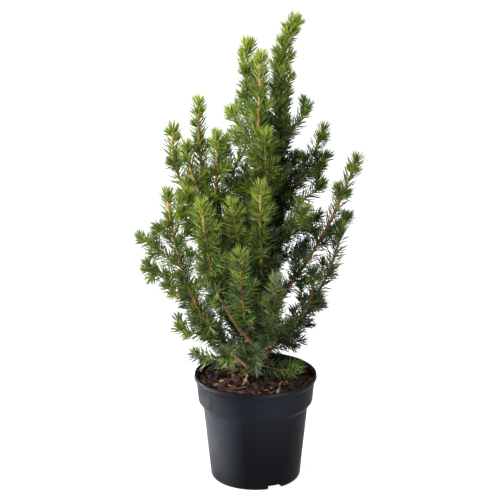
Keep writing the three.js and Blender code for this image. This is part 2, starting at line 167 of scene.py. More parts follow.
# ---- light and colour of the needles ----
SPRAY_LENGTH = 9 * MM  # stretch of shoot whose needles share one colour
SPRAY_SPREAD = 0.05
STRAY_SHARE = 0.45  # share of the needles that differ from their spray
STRAY_STEPS = (-2, -1, 1, 2)
FRESH_LENGTH = 10 * MM  # how far down a shoot its young colour reaches
# These numbers set how light a green each needle is painted: painted light and shade.
SUN_INSIDE = 0.19  # how sunlit a needle is deep inside the crown,
SUN_OUTSIDE = 0.32  # what its outside and its top add,
SUN_TOP = 0.13
SHADE_AWAY = 0.19  # and what the side away from the light takes off
SHADE_REACH = 0.11
CROWN_FOOT = 0.12
CROWN_RADIUS, CROWN_NARROWS, CROWN_LEAST = 92, 62, 16  # in mm, at its foot, over its height, least
CROWN_HEIGHT = 0.34
LIT_HEIGHT = 0.33
OPEN_TOP, OPEN_STRETCH = 0.33, 0.08  # above this height all needles count as outside

# The trunk leans right, stands straight and leans again: (height, right, back) in mm.
TRUNK_SWAY = [
    (100, -1, 2), (175, 7, 2), (250, 15, 3), (320, 21, 4), (385, 24, 4), (425, 26, 5), (461, 36, 5),
]

# name, limb it leaves, height where it leaves, side (degrees, 0 right, 90 back), reach from
# the pot's axis and height of its tip (mm), shares out and up half way, bare share at the
# start, thickness of the bare bough (mm, 0 for none), and how twiggy it is
SHOOTS = [
    ("top_front", "trunk", 225, -74, 19, 435, 2.0, 0.35, 0.2, 1.6, 0.75),
    ("top_left", "top_front", 350, -138, 12, 444, 1.2, 0.35, 0.1, 0, 0.7),
    ("right_long", "trunk", 165, 0, 98, 329, 0.62, 0.36, 0.15, 1.8, 0.35),
    ("right_long_side", "right_long", 250, 16, 93, 264, 0.8, 0.1, 0.1, 0, 0.2),
    ("right_low", "trunk", 126, 8, 85, 258, 0.85, 0.36, 0.06, 1.6, 0.4),
    ("right_low_side", "right_low", 178, 7, 68, 175, 0.6, 0.3, 0.1, 0, 0.3),
    ("right_low_up", "right_low", 174, -5, 57, 217, 0.8, 0.3, 0.1, 0, 0.2),
    ("left_low", "trunk", 108, -157, 91, 306, 0.85, 0.28, 0.2, 1.9, 0.8),
    ("left_out_d", "left_low", 262, -153, 107, 274, 0.6, 0.5, 0.1, 0, 0.2),
    ("left_tall", "trunk", 176, 180, 54, 386, 1.08, 0.38, 0.15, 1.7, 0.5),
    ("left_high", "trunk", 215, 176, 78, 358, 1.12, 0.42, 0.15, 1.5, 0.5),
    ("front_left_low", "trunk", 132, -129, 80, 303, 0.9, 0.36, 0.38, 2.2, 1.0),
    ("left_mid", "trunk", 215, -163, 69, 349, 0.9, 0.4, 0.18, 1.4, 0.6),
    ("front_mid", "trunk", 196, -85, 52, 317, 1.1, 0.15, 0.15, 0, 0.8),
    ("front_low", "trunk", 148, -101, 76, 259, 1.0, 0.25, 0.3, 1.5, 0.45),
    ("front_right_low", "trunk", 150, -76, 81, 235, 0.9, 0.2, 0.2, 1.4, 0.35),
    ("front_high", "trunk", 275, -74, 34, 364, 1.1, 0.2, 0.15, 0, 0.5),
    ("front_left_high", "left_tall", 270, -143, 46, 361, 1.1, 0.2, 0.12, 0, 0.5),
    ("front_left_mid", "trunk", 215, -113, 56, 300, 0.9, 0.2, 0.15, 0, 0.9),
    ("right_high", "trunk", 272, 13, 68, 355, 0.65, 0.35, 0.15, 0, 0.35),
    ("right_mid", "trunk", 286, 0, 70, 331, 0.6, 0.4, 0.12, 0, 0.3),
    ("right_flat", "trunk", 276, -7, 66, 306, 0.6, 0.15, 0.12, 0, 0.2),
    ("right_front", "trunk", 245, -44, 69, 293, 0.5, 0.3, 0.12, 0, 0.3),
    ("left_front_a", "left_mid", 262, -145, 87, 295, 0.9, 0.25, 0.1, 0, 0.5),
    ("left_front_b", "left_mid", 280, -152, 73, 305, 0.9, 0.25, 0.1, 0, 0.4),
    ("left_out_a", "left_low", 225, -174, 113, 254, 0.55, 0.45, 0.1, 0, 0.4),
    ("left_out_b", "left_low", 215, -169, 111, 223, 0.5, 0.3, 0.1, 0, 0.4),
    ("left_out_c", "left_low", 190, -163, 93, 209, 0.5, 0.3, 0.1, 0, 0.4),
    ("left_under_a", "left_low", 150, -171, 79, 159, 0.5, 0.2, 0.2, 0, 0.3),
    ("left_under_b", "left_low", 120, -164, 65, 134, 0.4, 0.1, 0.25, 0, 0.1),
    ("front_left_foot", "front_left_low", 145, -121, 56, 134, 0.8, 0.1, 0.2, 0, 0.3),
    ("right_foot", "trunk", 118, -24, 48, 122, 0.5, -2.5, 0.2, 0, 0.0),
    ("upper_left_a", "top_front", 345, 154, 28, 373, 0.6, 0.3, 0.1, 0, 0.2),
    ("upper_left_b", "top_front", 325, 142, 29, 348, 0.5, 0.4, 0.1, 0, 0.2),
    ("upper_right", "trunk", 343, 21, 55, 375, 0.6, 0.3, 0.12, 0, 0.2),
    ("right_back_high", "trunk", 238, 35, 79, 257, 0.6, 0.2, 0.15, 0, 0.3),
    ("right_back_low", "trunk", 222, 44, 72, 219, 0.6, 0.3, 0.15, 0, 0.3),
    ("back_top", "trunk", 318, 83, 34, 376, 0.8, 0.3, 0.12, 0, 0.8),
    ("back_high", "trunk", 244, 84, 60, 338, 0.85, 0.3, 0.15, 0, 1.0),
    ("back_left_high", "trunk", 262, 125, 59, 330, 0.8, 0.3, 0.12, 0, 1.0),
    ("back_right_high", "trunk", 276, 62, 52, 330, 0.75, 0.3, 0.12, 0, 1.0),
    ("back_left", "trunk", 176, 136, 86, 270, 0.85, 0.3, 0.15, 1.7, 1.0),
    ("back_mid", "trunk", 196, 100, 80, 284, 0.85, 0.3, 0.15, 0, 1.0),
    ("back_low", "trunk", 128, 108, 97, 222, 0.85, 0.3, 0.2, 1.8, 1.0),
    ("back_right_low", "trunk", 150, 78, 90, 232, 0.85, 0.3, 0.2, 1.7, 1.0),
    ("back_left_mid", "trunk", 155, 120, 97, 200, 0.8, 0.3, 0.2, 0, 1.0),
    ("back_left_foot", "trunk", 115, 143, 90, 182, 0.8, 0.3, 0.22, 1.7, 0.9),
    ("back_right_foot", "trunk", 120, 47, 91, 168, 0.8, 0.3, 0.2, 1.7, 0.6),
    ("back_foot", "trunk", 112, 87, 86, 150, 0.7, 0.3, 0.25, 0, 0.8),
]

# Bark colours, dark, middle and pale, and the trunk's young one (linear RGB).
TRUNK_BARK = ((0.008, 0.005, 0.003), (0.024, 0.013, 0.008), (0.058, 0.032, 0.019), (0.30, 0.140, 0.052))
BOUGH_BARK = ((0.080, 0.037, 0.017), (0.235, 0.118, 0.054), (0.380, 0.220, 0.110))
# Dark and pale colour of each kind of stem.
STEM_BARKS = {
    "tan": ((0.270, 0.105, 0.035), (0.640, 0.360, 0.150)),
    "brown": ((0.100, 0.038, 0.016), (0.330, 0.160, 0.070)),
    "old": ((0.040, 0.018, 0.009), (0.120, 0.060, 0.028)),
}
STEM_SIDES = 5

# Needle colours from the darkest to the youngest tips (linear RGB): lit and shaded copies of one green,
# dealt out by how sunlit a needle is (painted light and shade) and by how young it is.
NEEDLE_SHADES = {
    "needles_deep": (0.009, 0.020, 0.005),
    "needles_dark": (0.019, 0.041, 0.009),
    "needles_green": (0.040, 0.078, 0.013),
    "needles_mid": (0.078, 0.132, 0.018),
    "needles_light": (0.138, 0.204, 0.026),
    "needles_fresh": (0.210, 0.280, 0.032),
    "needles_tip": (0.290, 0.355, 0.042),
}
SHADE_NAMES = list(NEEDLE_SHADES)
# Bluer needles, and which of them stands in for each shade above.
COOL_NEEDLES = {
    "needles_cool_dark": (0.024, 0.046, 0.017),
    "needles_cool_mid": (0.076, 0.117, 0.042),
    "needles_cool_light": (0.170, 0.220, 0.085),
}
COOL_SHADES = np.array([7, 7, 7, 8, 8, 9, 9])
COOL_SHARE = 0.58  # share of the sprays that are bluer at COOL_LOW and below
COOL_LOW = 0.14
COOL_HIGH = 0.30  # and none are at this height and above
ALL_NEEDLES = {**NEEDLE_SHADES, **COOL_NEEDLES}
NEEDLES_PER_PIECE = 22000


# ---- materials ----
def set_inputs(node, **values):
    """Set a node's inputs by name, with an underscore for each space, and return the node."""
    for name, value in values.items():
        node.inputs[name.replace("_", " ")].default_value = value
    return node


def new_material(name, base, roughness, specular=0.5):
    """A Principled material; returns (material, its node tree, its shader)."""
    material = bpy.data.materials.new(name)
    material.use_nodes = True
    shader = material.node_tree.nodes["Principled BSDF"]
    set_inputs(shader, Base_Color=(*base, 1), Roughness=roughness, Specular_IOR_Level=specular)
    return material, material.node_tree, shader


def add_ramp(tree, source, stops):
    ramp = tree.nodes.new("ShaderNodeValToRGB")
    elements = ramp.color_ramp.elements
    while len(elements) < len(stops):
        elements.new(0.5)
    for stop, (place, colour) in zip(elements, stops):
        stop.position, stop.color = place, (*colour, 1)
    tree.links.new(source, ramp.inputs["Fac"])
    return ramp.outputs["Color"]


def add_noise(tree, vector, scale, detail, roughness):
    texture = tree.nodes.new("ShaderNodeTexNoise")
    set_inputs(texture, Scale=scale, Detail=detail, Roughness=roughness)
    tree.links.new(vector, texture.inputs["Vector"])
    return texture.outputs["Fac"]


def add_bump(tree, height, shader, strength, distance):
    bump = set_inputs(tree.nodes.new("ShaderNodeBump"), Strength=strength, Distance=distance)
    tree.links.new(height, bump.inputs["Height"])
    tree.links.new(bump.outputs["Normal"], shader.inputs["Normal"])


def object_place(tree):
    return tree.nodes.new("ShaderNodeTexCoord").outputs["Object"]


def pot_material():
    """Moulded plastic: near-black slate, fine grain, faint scuffs and dust."""
    slate = (0.0034, 0.0041, 0.0058)
    material, tree, shader = new_material("pot_plastic", slate, 0.5, specular=0.04)
    place = object_place(tree)
    broad = add_noise(tree, place, scale=24, detail=5, roughness=0.6)
    tint = add_ramp(tree, broad, [(0.30, (0.0019, 0.0023, 0.0035)), (0.72, (0.0033, 0.0039, 0.0060))])
    tree.links.new(tint, shader.inputs["Base Color"])
    scuff = add_noise(tree, place, scale=130, detail=6, roughness=0.7)
    rough = tree.nodes.new("ShaderNodeMapRange")
    set_inputs(rough, From_Min=0.3, From_Max=0.75, To_Min=0.44, To_Max=0.56)
    tree.links.new(scuff, rough.inputs["Value"])
    tree.links.new(rough.outputs["Result"], shader.inputs["Roughness"])
    grain = add_noise(tree, place, scale=1500, detail=3, roughness=0.6)
    add_bump(tree, grain, shader, strength=0.12, distance=0.0002)
    return material


def mottled_material(name, base, roughness, specular, grain, stops, bump):
    """Colour and bump from one noise; grain is its (scale, detail, roughness)."""
    material, tree, shader = new_material(name, base, roughness, specular)
    fleck = add_noise(tree, object_place(tree), *grain)
    tint = add_ramp(tree, fleck, stops)
    tree.links.new(tint, shader.inputs["Base Color"])
    add_bump(tree, fleck, shader, *bump)
    return material


def soil_material():
    """Peat between the bark chips."""
    stops = [(0.35, (0.006, 0.004, 0.003)), (0.55, (0.020, 0.011, 0.007)), (0.75, (0.045, 0.024, 0.014))]
    return mottled_material("peat", (0.02, 0.012, 0.008), 0.95, 0.2, (260, 8, 0.7), stops, (0.9, 0.002))


def chip_material(name, dark, pale):
    """Bark chips: fibrous, each stretch a little different."""
    stops = [(0.34, dark), (0.68, pale)]
    return mottled_material(name, pale, 0.85, 0.12, (420, 6, 0.65), stops, (0.7, 0.0008))


def stem_material(name, dark, pale):
    """Young bark: short lighter and darker flecks, like the pegs that carry the needles."""
    stops = [(0.38, dark), (0.62, pale)]
    return mottled_material(name, pale, 0.7, 0.15, (620, 4, 0.6), stops, (0.8, 0.0006))


def bark_material(name, dark, middle, pale, young=None):
    """Thin scaly bark: upright streaks broken up by small flakes.

    With a young colour, the limb turns to that colour towards the top of the plant.
    """
    material, tree, shader = new_material(name, middle, 0.85, specular=0.12)
    place = object_place(tree)
    squeeze = set_inputs(tree.nodes.new("ShaderNodeMapping"), Scale=(1.0, 1.0, 0.35))
    tree.links.new(place, squeeze.inputs["Vector"])
    flakes = add_noise(tree, squeeze.outputs["Vector"], scale=900, detail=6, roughness=0.7)
    tint = add_ramp(tree, flakes, [(0.36, dark), (0.52, middle), (0.72, pale)])
    if young:
        height = tree.nodes.new("ShaderNodeSeparateXYZ")
        tree.links.new(place, height.inputs["Vector"])
        age = set_inputs(tree.nodes.new("ShaderNodeMapRange"), From_Min=YOUNG_FROM, From_Max=YOUNG_TO)
        tree.links.new(height.outputs["Z"], age.inputs["Value"])
        mix = tree.nodes.new("ShaderNodeMix")
        mix.data_type = "RGBA"
        mix.inputs["B"].default_value = (*young, 1)
        tree.links.new(age.outputs["Result"], mix.inputs["Factor"])
        tree.links.new(tint, mix.inputs["A"])
        tint = mix.outputs["Result"]
    tree.links.new(tint, shader.inputs["Base Color"])
    add_bump(tree, flakes, shader, strength=0.6, distance=0.0006)
    return material


# ---- mesh helpers ----
def mesh_object(name, places, faces, material, smooth=True):
    """An object from an (n, 3) array and a list of (m, k) face arrays."""
    mesh = bpy.data.meshes.new(name)
    places = np.asarray(places, np.float32).reshape(-1, 3)
    groups = [np.asarray(f, np.int32) for f in faces if len(f)]
    corners = np.concatenate([g.reshape(-1) for g in groups])
    totals = np.concatenate([np.full(len(g), g.shape[1], np.int32) for g in groups])
    starts = np.concatenate([[0], np.cumsum(totals)[:-1]]).astype(np.int32)
    mesh.vertices.add(len(places))
    mesh.vertices.foreach_set("co", places.reshape(-1))
    mesh.loops.add(len(corners))
    mesh.loops.foreach_set("vertex_index", corners)
    mesh.polygons.add(len(totals))
    mesh.polygons.foreach_set("loop_start", starts)
    mesh.polygons.foreach_set("loop_total", totals)
    mesh.polygons.foreach_set("use_smooth", np.full(len(totals), smooth))
    mesh.update(calc_edges=True)
    mesh.validate()
    mesh.materials.append(material)
    thing = bpy.data.objects.new(name, mesh)
    bpy.context.scene.collection.objects.link(thing)
    return thing


def unit(v):
    return v / np.maximum(np.linalg.norm(v, axis=-1, keepdims=True), 1e-12)


def ring_faces(rows, sides):
    """Quads between rings of points, and triangles to the two poles that come after them."""
    row, k = np.meshgrid(np.arange(rows - 1), np.arange(sides), indexing="ij")
    a = row * sides + k
    b = row * sides + (k + 1) % sides
    quads = np.stack([a, b, b + sides, a + sides], -1).reshape(-1, 4)
    k = np.arange(sides)
    after = (k + 1) % sides
    last = (rows - 1) * sides
    low = np.stack([np.full(sides, rows * sides), after, k], -1)
    high = np.stack([np.full(sides, rows * sides + 1), last + k, last + after], -1)
    return quads, np.concatenate([low, high])


def tube_mesh(points, across, radii, sides, first_index):
    """Rings along points with a pole at each end: (places, quads, triangles)."""
    count = len(points)
    ahead = unit(np.gradient(points, axis=0))
    side = unit(across - (across * ahead).sum(1, keepdims=True) * ahead)
    lift = np.cross(ahead, side)
    angle = 2 * math.pi * np.arange(sides) / sides
    radii = np.broadcast_to(np.asarray(radii, float).reshape(count, -1), (count, sides))
    ring = points[:, None] + radii[..., None] * (
        np.cos(angle)[None, :, None] * side[:, None] + np.sin(angle)[None, :, None] * lift[:, None]
    )
    places = np.concatenate([ring.reshape(-1, 3), points[:1], points[-1:]])
    quads, ends = ring_faces(count, sides)
    return places, quads + first_index, ends + first_index


def tubes_object(name, tubes, sides, material):
    """One object joined from tubes, each given as (points, across, radii)."""
    places, quads, ends, first = [], [], [], 0
    for points, across, radii in tubes:
        p, q, e = tube_mesh(points, np.tile(across, (len(points), 1)), radii, sides, first)
        places.append(p)
        quads.append(q)
        ends.append(e)
        first += len(p)
    faces = [np.concatenate(quads), np.concatenate(ends)]
    return mesh_object(name, np.concatenate(places), faces, material)


# ---- limb paths ----
class Path:
    """A limb's middle line as evenly spaced points, in metres."""

    def __init__(self, points, across):
        step = np.linalg.norm(np.diff(points, axis=0), axis=1)
        self.reached = np.concatenate([[0], np.cumsum(step)])
        self.length = self.reached[-1]
        self.points = points
        self.across = unit(np.asarray(across, float))

    def at(self, distance):
        """Points that far along, for an array of distances."""
        axis = [np.interp(distance, self.reached, self.points[:, k]) for k in range(3)]
        return np.stack(axis, -1)

    def ahead(self, distance):
        step = self.length / 60
        return unit(self.at(distance + step) - self.at(np.maximum(distance - step, 0)))

    def at_height(self, height):
        """The point at that height, on a path that rises all the way."""
        numbers = np.arange(len(self.points))
        order = np.interp(height, self.points[:, 2], numbers)
        return np.array([np.interp(order, numbers, self.points[:, k]) for k in range(3)])


def trunk_path():
    """A smooth curve (Catmull-Rom) through the points of the trunk's sway."""
    knots = np.array([(x, y, z) for z, x, y in TRUNK_SWAY], float) * MM
    ends = np.concatenate([[2 * knots[0] - knots[1]], knots, [2 * knots[-1] - knots[-2]]])
    points = []
    spans = len(knots) - 1
    for t in np.linspace(0, spans, 181):
        k = min(int(t), spans - 1)
        f = t - k
        a, b, c, d = ends[k:k + 4]
        points.append(0.5 * (2 * b + (c - a) * f + (2 * a - 5 * b + 4 * c - d) * f ** 2
                             + (3 * b - a - 3 * c + d) * f ** 3))
    return Path(np.array(points), (0, 1, 0))


def bent_path(start, tip, out, up, steps=60, short=0.0):
    """A quadratic curve from start to tip that has gone out and up by those shares half way.

    It ends that much short of the tip.
    """
    bend = start + np.array([out, out, up]) * (tip - start)
    tip = tip - short * unit(tip - bend)
    t = np.linspace(0, 1, steps + 1)[:, None]
    points = (1 - t) ** 2 * start + 2 * t * (1 - t) * bend + t ** 2 * tip
    across = np.cross(bend - start, tip - start)
    if np.linalg.norm(across) < 1e-9:
        across = np.cross(tip - start, (0.3, 1, 0.2))
    return Path(points, across)


def all_paths():
    """The path of the trunk and of each shoot, by name."""
    paths = {"trunk": trunk_path()}
    for name, parent, leaves, side, reach, top, out, up, *_ in SHOOTS:
        angle = math.radians(side)
        start = paths[parent].at_height(leaves * MM)
        tip = np.array([reach * math.cos(angle), reach * math.sin(angle), top]) * MM
        paths[name] = bent_path(start, tip, out, up, short=TIP_NEEDLES)
    return paths


# ---- trunk and boughs ----
def rough_radius(points, radii, sides, depth, seed):
    """Radii with bark relief: long ridges and small scales."""
    count = len(points)
    out = np.empty((count, sides))
    for i in range(count):
        for k in range(sides):
            a = 2 * math.pi * k / sides
            x, y, z = math.cos(a) * 1.6 + seed, math.sin(a) * 1.6, points[i][2]
            ridge = noise.noise(Vector((x * 2.2, y * 2.2, z * 60)))
            scale = noise.noise(Vector((x * 5.0, y * 5.0, z * 420 + 7)))
            out[i, k] = radii[i] * (1 + depth * (0.7 * ridge + 0.5 * scale))
    return out


def make_trunk(path):
    reached = np.linspace(0, path.length, TRUNK_RINGS)
    points = path.at(reached)
    share = reached / path.length
    taper = TRUNK_TIP_RADIUS + (TRUNK_RADIUS - TRUNK_TIP_RADIUS) * (1 - share) ** TRUNK_TAPER
    radii = rough_radius(points, taper, TRUNK_SIDES, TRUNK_RELIEF, 3.1)
    angle = 2 * math.pi * np.arange(TRUNK_SIDES) / TRUNK_SIDES
    lobes = 1 + LOBE_DEPTH * np.cos(FLARE_LOBES * angle + 0.6)
    height = points[:, 2] - TRUNK_FOOT
    radii += FLARE * np.exp(-height / FLARE_HEIGHT)[:, None] * lobes[None]
    bark = bark_material("trunk_bark", *TRUNK_BARK)
    trunk = tubes_object("trunk_bark", [(points, path.across, radii)], TRUNK_SIDES, bark)
    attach(trunk, "root")
    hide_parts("trunk")


def make_boughs(paths):
    """The bare start of each thick shoot, with bark relief, running on into its leafy part."""
    tubes, names = [], []
    for number, row in enumerate(SHOOTS):
        name, bare, thick = row[0], row[8], row[9]
        if not thick:
            continue
        path = paths[name]
        end = path.length * min(BARK_LONGEST, bare + BARK_PAST_BARE)
        reached = np.linspace(0, end, BOUGH_RINGS)
        points = path.at(reached)
        share = reached / end
        collar = 1 + COLLAR_SWELL * np.exp(-share * COLLAR_SHARPNESS)
        taper = thick * MM * collar * (1 - BOUGH_THINNING * share)
        radii = rough_radius(points, taper, BOUGH_SIDES, BOUGH_RELIEF, 11.0 + number)
        tubes.append((points, path.across, radii))
        names.append(f"bough_{name}")
    boughs = tubes_object("boughs_bark", tubes, BOUGH_SIDES, bark_material("bough_bark", *BOUGH_BARK))
    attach(boughs, "root")
    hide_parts(*names)


# ---- twigs and needles ----
class Growth:
    """Collects stems and needles while the shoots grow."""

    def __init__(self):
        self.stems = []  # (points, across, radii, bark)
        self.needles = []  # (base, direction, curl, ahead, length, width, shade)


def from_trunk(point):
    """The level step from the trunk to a point."""
    return (point - TRUNK.at_height(point[2])) * np.array([1, 1, 0])


def exposure(point):
    """How sunlit the needles at a place are, from 0 in deep shade to about 0.6 at the top; their green is
    painted that much lighter: painted light and shade.
    """
    away = from_trunk(point)
    crown = (CROWN_RADIUS - CROWN_NARROWS * (point[2] - CROWN_FOOT) / CROWN_HEIGHT) * MM
    outer = min(1.0, math.hypot(away[0], away[1]) / max(crown, CROWN_LEAST * MM))
    outer = max(outer, min(1.0, (point[2] - OPEN_TOP) / OPEN_STRETCH))
    height = min(1.0, max(0.0, (point[2] - CROWN_FOOT) / LIT_HEIGHT))
    shaded_side = max(0.0, away[0] + away[1]) / SHADE_REACH
    return SUN_INSIDE + SUN_OUTSIDE * outer + SUN_TOP * height - SHADE_AWAY * shaded_side


def spiral_frame(path, distance):
    """Base points, directions ahead and the two directions across at each distance."""
    base = path.at(distance)
    ahead = path.ahead(distance)
    side = unit(path.across - (path.across * ahead).sum(1, keepdims=True) * ahead)
    return base, ahead, side, np.cross(ahead, side)


def spray_shades(base, distance, to_tip, tone, fresh):
    """One shade for each stretch of a shoot: lighter where it is sunlit and darker where it is shaded
    (painted light and shade), and brighter towards a young tip.
    """
    count = len(base)
    spray = (distance / SPRAY_LENGTH).astype(int)
    shade = np.empty(count, int)
    for number in np.unique(spray):
        mine = spray == number
        # Painted light and shade: the more sunlit the stretch, the lighter its green.
        value = exposure(base[mine].mean(0)) + tone + rng.normal(0, SPRAY_SPREAD)
        value += fresh * math.exp(-to_tip[mine].mean() / FRESH_LENGTH)
        shade[mine] = int(np.clip(value * len(SHADE_NAMES), 0, len(SHADE_NAMES) - 1))
    stray = rng.random(count) < STRAY_SHARE
    shade[stray] += rng.choice(STRAY_STEPS, stray.sum())
    shade = np.clip(shade, 0, len(SHADE_NAMES) - 1)
    for number in np.unique(spray):
        mine = spray == number
        low = np.clip((COOL_HIGH - base[mine, 2].mean()) / (COOL_HIGH - COOL_LOW), 0, 1)
        if rng.random() < COOL_SHARE * low:
            shade[mine] = COOL_SHADES[shade[mine]]
    return shade


def grow_needles(growth, path, start, radius_at, spacing, tone, fresh, size=1.0):
    """Needles in a golden-angle spiral along a path from that distance to its tip."""
    count = int((path.length - start) / spacing)
    if count < FEWEST_NEEDLES:
        return
    distance = start + spacing * (np.arange(count) + rng.uniform(-PLACE_SPREAD, PLACE_SPREAD, count))
    rosette = path.length - rng.uniform(*ROSETTE_REACH, ROSETTE) * MM
    distance = np.clip(np.concatenate([distance, rosette]), 0, path.length)
    count += ROSETTE
    to_tip = path.length - distance
    base, ahead, side, lift = spiral_frame(path, distance)
    turn = rng.uniform(0, 2 * math.pi) + GOLDEN * np.arange(count) + rng.normal(0, TURN_SPREAD, count)
    around = np.cos(turn)[:, None] * side + np.sin(turn)[:, None] * lift
    near_tip = np.clip(to_tip / TIP_STRETCH, 0, 1)
    high = np.clip((base[:, 2] - LOW_NEEDLES) / (HIGH_NEEDLES - LOW_NEEDLES), 0, 1)
    widest = np.radians(LOW_ANGLE - (LOW_ANGLE - HIGH_ANGLE) * high) + rng.normal(0, ANGLE_SPREAD, count)
    open_angle = near_tip * widest + (1 - near_tip) * np.radians(rng.uniform(*TIP_ANGLES, count))
    direction = np.cos(open_angle)[:, None] * ahead + np.sin(open_angle)[:, None] * around
    direction = unit(direction + rng.normal(0, DIRECTION_SPREAD, (count, 3)))
    curl = unit(direction + CURL_AHEAD * ahead + CURL_UP * UP)
    length = size * NEEDLE_LENGTH * rng.uniform(*LENGTH_RANGE, count)
    length = length * (1 - SHORTER_AT_TIP + SHORTER_AT_TIP * near_tip)
    width = NEEDLE_WIDTH * rng.uniform(*WIDTH_RANGE, count)
    shade = spray_shades(base, distance, to_tip, tone, fresh)
    foot = base + around * radius_at(distance)[:, None] * NEEDLE_SEAT
    outward = unit(from_trunk(base[count // 2]))
    kept = (around @ outward < FACING) | (near_tip < 1) | (rng.random(count) < FACING_SHARE)
    columns = (foot, direction, curl, ahead, length, width, shade)
    growth.needles.append(tuple(column[kept] for column in columns))


def twig_radius(distance):
    return np.full(len(distance), TWIG_RADIUS)


def grow_twig(growth, base, reach, lift, bark, tone, fresh, size):
    """One side shoot from base that bends upwards, with its needles."""
    twig = bent_path(base, base + reach + UP * lift, TWIG_OUT, TWIG_UP, TWIG_STEPS)
    radii = np.linspace(*TWIG_RADII, len(twig.points)) * MM
    growth.stems.append((twig.points, twig.across, radii, bark))
    grow_needles(growth, twig, TWIG_BARE, twig_radius, TWIG_NEEDLE_SPACING, tone, fresh, size)


def side_shoot_frame(path, distance, turn):
    """Where a side shoot leaves a shoot, the direction ahead there and the one it turns to."""
    base, ahead, side, lift = [row[0] for row in spiral_frame(path, distance)]
    return base, ahead, math.cos(turn) * side + math.sin(turn) * lift


def grow_twigs(growth, path, start, twiggy, tone, fresh, twiggy_to):
    """Side shoots round a shoot: longest low down, short outwards, none near its tip."""
    leafy = path.length - start
    count = int(leafy * TWIG_STRETCH / TWIG_SPACING * twiggy)
    turn = rng.uniform(0, 2 * math.pi)
    for k in range(count):
        whorl = (k // WHORL + 0.5) * WHORL + rng.uniform(-WHORL_SPREAD, WHORL_SPREAD)
        share = min(1.0, whorl / count) * twiggy_to
        distance = np.array([start + leafy * share])
        turn += GOLDEN + rng.normal(0, TURN_SPREAD)
        base, ahead, around = side_shoot_frame(path, distance, turn)
        facing_out = max(0.0, float(around.dot(unit(from_trunk(base)))))
        length = TWIG_SHORTEST + (TWIG_LONGEST - TWIG_SHORTEST) * (1 - share) * rng.uniform(*TWIG_RANGE)
        length *= 1 - FACING_SHORTER * facing_out
        high = min(1.0, max(0.0, (base[2] - LEANING_LOW) / (LEANING_HIGH - LEANING_LOW)))
        lean = math.radians(rng.uniform(*TWIG_LEAN) - TWIG_STEEPER * high)
        reach = length * (math.cos(lean) * ahead + math.sin(lean) * around)
        bark = "brown" if share > 0.5 else "old"
        grow_twig(growth, base, reach, TWIG_RISE * length, bark,
                  tone - TWIG_DARKER, TWIG_FRESH * fresh, TWIG_NEEDLE_SIZE)


def grow_tip_twigs(growth, path, tone, fresh):
    """Short side shoots close under the end, which make it bushy and blunt."""
    turn = rng.uniform(0, 2 * math.pi)
    for k in range(TIP_TWIGS):
        distance = np.array([path.length - rng.uniform(*TIP_TWIG_PLACE) * MM])
        turn += 2 * math.pi / TIP_TWIGS + rng.normal(0, TURN_SPREAD)
        base, ahead, around = side_shoot_frame(path, distance, turn)
        length = rng.uniform(*TIP_TWIG_LENGTH) * MM
        reach = length * (TIP_TWIG_AHEAD * ahead + TIP_TWIG_OUT * around)
        grow_twig(growth, base, reach, TIP_TWIG_RISE * length, "tan",
                  tone, TIP_TWIG_FRESH * fresh, TIP_TWIG_NEEDLE_SIZE)


def grow_shoot(growth, path, bare, twiggy, tone, fresh, bark, sparse=1.0, twiggy_to=TWIGGY_SHARE):
    """A main shoot with its needles and side shoots; without a bark it makes no stem."""
    start = bare * path.length
    thick = min(1.0, max(THINNEST_SHOOT, path.length / LONG_SHOOT))

    def radius_at(distance):
        return thick * (SHOOT_RADIUS + (SHOOT_TIP_RADIUS - SHOOT_RADIUS) * distance / path.length)

    if bark:
        reached = np.linspace(0, path.length, max(12, int(path.length / (2 * MM))))
        wobble = rng.normal(0, SHOOT_WOBBLE, len(reached))
        growth.stems.append((path.at(reached), path.across, radius_at(reached) * (1 + wobble), bark))
    grow_needles(growth, path, start, radius_at, SHOOT_SPACING * sparse, tone, fresh)
    grow_twigs(growth, path, start, twiggy, tone, fresh, twiggy_to)
    grow_tip_twigs(growth, path, tone, fresh)


def grow_inside(growth):
    """Short shaded shoots round the trunk, which close the middle of the crown."""
    turn = 0.4
    for k in range(INNER_SHOOTS):
        share = (k + rng.uniform(0.1, 0.9)) / INNER_SHOOTS
        height = INNER_LOW + (INNER_HIGH - INNER_LOW) * share
        turn += GOLDEN + rng.normal(0, 0.2)
        base = TRUNK.at_height(height)
        length = (INNER_LONGEST - INNER_SHORTER * share) * MM * rng.uniform(*INNER_RANGE)
        if math.cos(turn) > BARE_SIDE and height < BARE_TOP:
            continue
        if math.cos(turn) > THIN_SIDE:
            length *= THIN_SHARE
        if math.cos(turn - LONG_BOUGH_SIDE) > LONG_BOUGH_OPEN and height < LONG_BOUGH_TOP:
            length *= LONG_BOUGH_SHARE
        out = np.array([math.cos(turn), math.sin(turn), 0.0])
        # Painted shade: inner shoots get a darker green, but those low at the front and the lowest of all
        # get a lighter one (painted light).
        low_front = share < 0.35 and math.sin(turn) < 0
        tone = 0.05 if low_front or share < 0.1 else -0.10
        grow_twig(growth, base, out * length * INNER_OUT, length * rng.uniform(*INNER_RISE), "old",
                  tone, INNER_FRESH, INNER_NEEDLE_SIZE)


